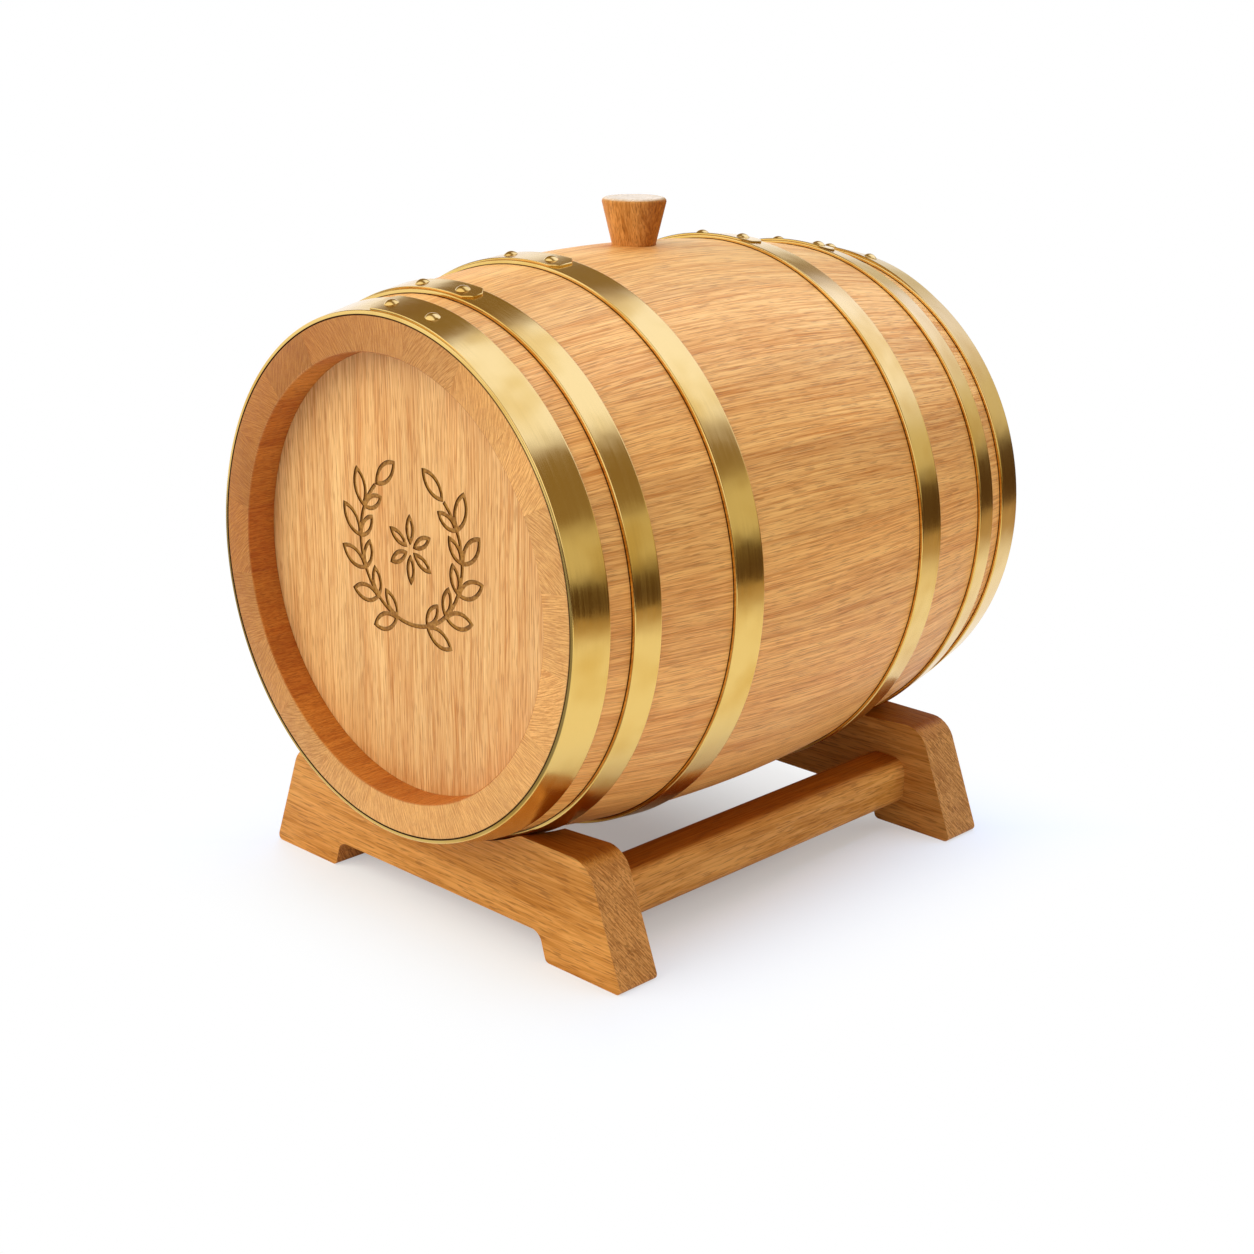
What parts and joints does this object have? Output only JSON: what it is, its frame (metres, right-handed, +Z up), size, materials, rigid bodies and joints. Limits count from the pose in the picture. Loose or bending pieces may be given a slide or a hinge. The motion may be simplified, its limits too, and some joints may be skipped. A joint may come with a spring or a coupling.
{
  "type": "oak cask liquor dispenser",
  "caption": "Small coopered oak cask with brass hoops, a lift-out bung and a wooden tap, lying on a two-cradle oak stand.",
  "frame": {"origin": "on the floor, midway between the two cradles and between their feet", "axes": "+Z up; the cask lies along Y with its engraved front head towards -Y and its tap towards +Y; +X is the right-hand side seen from the front"},
  "size_m": [0.2254, 0.3029, 0.2695],
  "materials": {
    "cask_oak": "light oak, planed along the grain, satin oil",
    "stand_oak": "honey oak, sawn and sanded, satin oil",
    "turned_oak": "turned oak, satin",
    "hoop_brass": "brushed brass strip, satin",
    "cork": "cut cork"
  },
  "bodies": {
    "stand": {"cradle_front": "stand_oak", "cradle_back": "stand_oak", "stretcher_left": "stand_oak", "stretcher_right": "stand_oak"},
    "cask": {"stave_01": "cask_oak", "stave_02": "cask_oak", "stave_03": "cask_oak", "stave_04": "cask_oak", "stave_05": "cask_oak", "stave_06": "cask_oak", "stave_07": "cask_oak", "stave_08": "cask_oak", "stave_09": "cask_oak", "stave_10": "cask_oak", "stave_11": "cask_oak", "stave_12": "cask_oak", "stave_13": "cask_oak", "stave_14": "cask_oak", "stave_15": "cask_oak", "stave_16": "cask_oak", "stave_17": "cask_oak", "stave_18": "cask_oak", "stave_19": "cask_oak", "bung_stave": "cask_oak", "front_board_left": "cask_oak", "front_board_middle": "cask_oak", "front_board_right": "cask_oak", "back_board_left": "cask_oak", "back_board_middle": "cask_oak", "back_board_right": "cask_oak", "front_dowels": "cask_oak", "back_dowels": "cask_oak", "hoop_front_head": "hoop_brass", "hoop_front_quarter": "hoop_brass", "hoop_front_bilge": "hoop_brass", "hoop_back_head": "hoop_brass", "hoop_back_quarter": "hoop_brass", "hoop_back_bilge": "hoop_brass", "rivets_front_head": "hoop_brass", "rivets_front_quarter": "hoop_brass", "rivets_front_bilge": "hoop_brass", "rivets_back_head": "hoop_brass", "rivets_back_quarter": "hoop_brass", "rivets_back_bilge": "hoop_brass", "tap_body": "turned_oak", "tap_cork": "cork"},
    "bung": {"bung": "turned_oak"},
    "tap_key": {"tap_key": "turned_oak", "tap_handle": "turned_oak"}
  },
  "joints": [
    {"name": "cask_lift", "type": "slide", "parent": "stand", "child": "cask", "axis": [0, 0, 1], "range_m": [0, 0.06]},
    {"name": "bung_lift", "type": "slide", "parent": "cask", "child": "bung", "axis": [0, 0, 1], "range_m": [0, 0.05]},
    {"name": "tap_turn", "type": "hinge", "parent": "cask", "child": "tap_key", "pos_m": [0, 0.1504, 0.08456], "axis": [0, 0, 1], "range_deg": [0, 90]}
  ]
}
